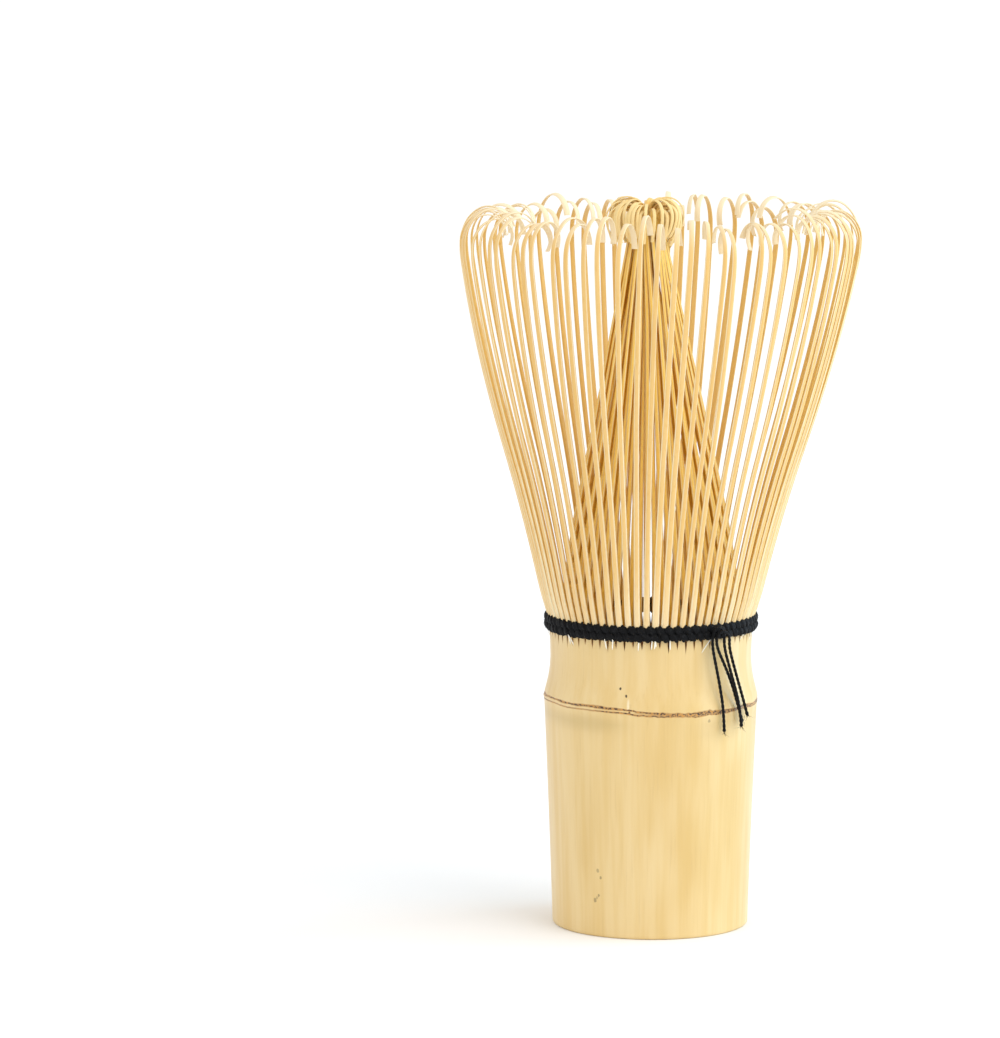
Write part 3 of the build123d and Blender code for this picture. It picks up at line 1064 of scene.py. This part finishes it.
def knot_rings():
    """Rings of thread round the knot's centre, each tilted and stretched its own way."""
    outward = unit(np.array([knot_centre.x, knot_centre.y, 0.0]))
    sideways = np.array([-outward[1], outward[0], 0.0])
    upward = np.array([0.0, 0.0, 1.0])
    turn = np.arange(60) * 2 * np.pi / 60
    centre = np.array(knot_centre)
    rings = []
    for tilt, wide, tall, shift in knot_loops:
        t = np.radians(tilt)
        first = sideways * np.cos(t) + upward * np.sin(t)
        second = -sideways * np.sin(t) + upward * np.cos(t)
        bulge = 0.25 * np.sin(2 * turn)[:, None] * outward
        line = centre + (first * (wide * np.cos(turn))[:, None] + second * (tall * np.sin(turn))[:, None] + bulge) * mm
        line = line + outward * shift * mm
        rings.append((line, outward))
    return rings


knot_points = []
knot_faces = []
for line, outward in knot_rings():
    points = twisted_tube(line, outward, 0.4 * mm, 2, 1.5 * mm, 10, closed=True)
    knot_faces.append(grid_faces(len(line), 10, closed_rows=True) + sum(len(p) for p in knot_points))
    knot_points.append(points.reshape(-1, 3))
thread_piece("knot", "thread_knot", np.concatenate(knot_points), np.concatenate(knot_faces))
print("knot loops", len(knot_loops))

# %% [markdown]
# ### Lint
#
# Cotton thread sheds short hairs, which stand out from the band and from the cut ends. A hair has a square section
# and four steps, so that hundreds of them stay cheap. It leaves along a random direction and bends over.

# %% Hairs
lint_rng = np.random.default_rng(30)


def hairs(starts, directions, lengths, size):
    """Square tubes along start + direction * length * t + bend * t^2, thinner towards the end."""
    count = len(starts)
    t = np.linspace(0, 1, 5)
    bend = lint_rng.normal(0, 0.35, (count, 3)) * lengths[:, None]
    lines = starts[:, None] + (directions * lengths[:, None])[:, None] * t[:, None] + bend[:, None] * (t**2)[:, None]
    side = unit(np.cross(directions, lint_rng.normal(0, 1, (count, 3))))
    over = np.cross(directions, side)
    corners = np.array([[1, 0], [0, 1], [-1, 0], [0, -1]])
    section = corners[:, 0, None] * side[:, None] + corners[:, 1, None] * over[:, None]
    return lines[:, :, None] + section[:, None] * (size * (1 - 0.7 * t))[None, :, None, None]


# %% Lint
band_count = 420
end_count = 36
knot_count = 50
fine_hair = 0.022
thick_hair = 0.03
band_angle = lint_rng.uniform(-np.pi, np.pi, band_count)
band_out = np.stack([np.cos(band_angle), np.sin(band_angle), np.zeros(band_count)], -1)
band_height = lint_rng.uniform(lower_height - 0.7, upper_height + 0.7, band_count)
band_starts = band_out * (course_radius + 0.35) + np.array([0, 0, 1]) * band_height[:, None]
band_directions = unit(band_out * 0.8 + lint_rng.normal(0, 0.8, (band_count, 3)))
tie_ends = np.concatenate([line[[0, -1]] for line in tie_lines.values()]) / mm
end_starts = np.repeat(tie_ends, end_count // 4, axis=0) + lint_rng.normal(0, 0.12, (end_count, 3))
end_directions = unit(lint_rng.normal(0, 0.5, (end_count, 3)) + np.array([0, 0, -1.0]))
knot_starts = np.array(knot_centre) / mm + lint_rng.normal(0, 0.5, (knot_count, 3))
knot_directions = unit(lint_rng.normal(0, 1, (knot_count, 3)))
lint_points = np.concatenate([
    hairs(band_starts, band_directions, lint_rng.uniform(0.25, 0.75, band_count), fine_hair),
    hairs(end_starts, end_directions, lint_rng.uniform(0.3, 0.9, end_count), thick_hair),
    hairs(knot_starts, knot_directions, lint_rng.uniform(0.8, 1.5, knot_count), fine_hair),
])
lint = make_piece("lint", lint_points * mm, joined_strips(lint_points), {}, black_thread, smooth_angle=80)
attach(lint, "handle")
print("lint hairs", len(lint_points))

# %% [markdown]
# ## Floor and light
#
# A white floor and a white sky make the plain bright ground of a catalogue picture. One soft sun from the front
# right lights the tines' pale corners, which their finish also paints as a highlight, and lays a faint shadow to the
# left. A sun lights the whole floor evenly, where a lamp would leave its far end grey. A cool panel on the right
# whitens that side of the culm, as a window beside a table does.

# %% Floor
def floor_finish():
    """White paper, with a trace of unevenness."""
    finish = Finish("floor_paper")
    grain = finish.noise(finish.places(), 30, 2)
    colour = finish.mix(grain, (0.95, 0.95, 0.955), (0.97, 0.97, 0.97))
    return finish.set(Base_Color=colour, Roughness=0.9)


floor_mesh = bpy.data.meshes.new("floor")
reach = 6.0
corners = [(-reach, -reach, 0), (reach, -reach, 0), (reach, reach, 0), (-reach, reach, 0)]
floor_mesh.from_pydata(corners, [], [(0, 1, 2, 3)])
floor_mesh.materials.append(floor_finish())
floor = placed("floor", floor_mesh)
print("floor", 2 * reach, "m wide")

# %% Lights
sun = bpy.data.lights.new("key", "SUN")
sun.energy = 0.85
sun.angle = radians(44)
sun.color = (1.0, 0.985, 0.96)
key = placed("key", sun)
key.rotation_euler = (radians(45), 0, radians(52))

panel = bpy.data.lights.new("panel", "AREA")
panel.shape = "RECTANGLE"
panel.size = 0.35
panel.size_y = 0.6
panel.energy = 2.0
panel.color = (0.45, 0.75, 1.0)
side_light = placed("panel", panel)
side_light.location = (0.55, 0.12, 0.25)
side_light.rotation_euler = (radians(90), 0, radians(102))

world = bpy.data.worlds.new("studio")
world.use_nodes = True
background = world.node_tree.nodes["Background"]
background.inputs["Color"].default_value = (1, 1, 1, 1)
background.inputs["Strength"].default_value = 0.92
scene = bpy.context.scene
scene.world = world
scene.view_settings.view_transform = "Standard"
print("sun", round(sun.energy, 2), "panel", round(panel.energy, 2), "W")
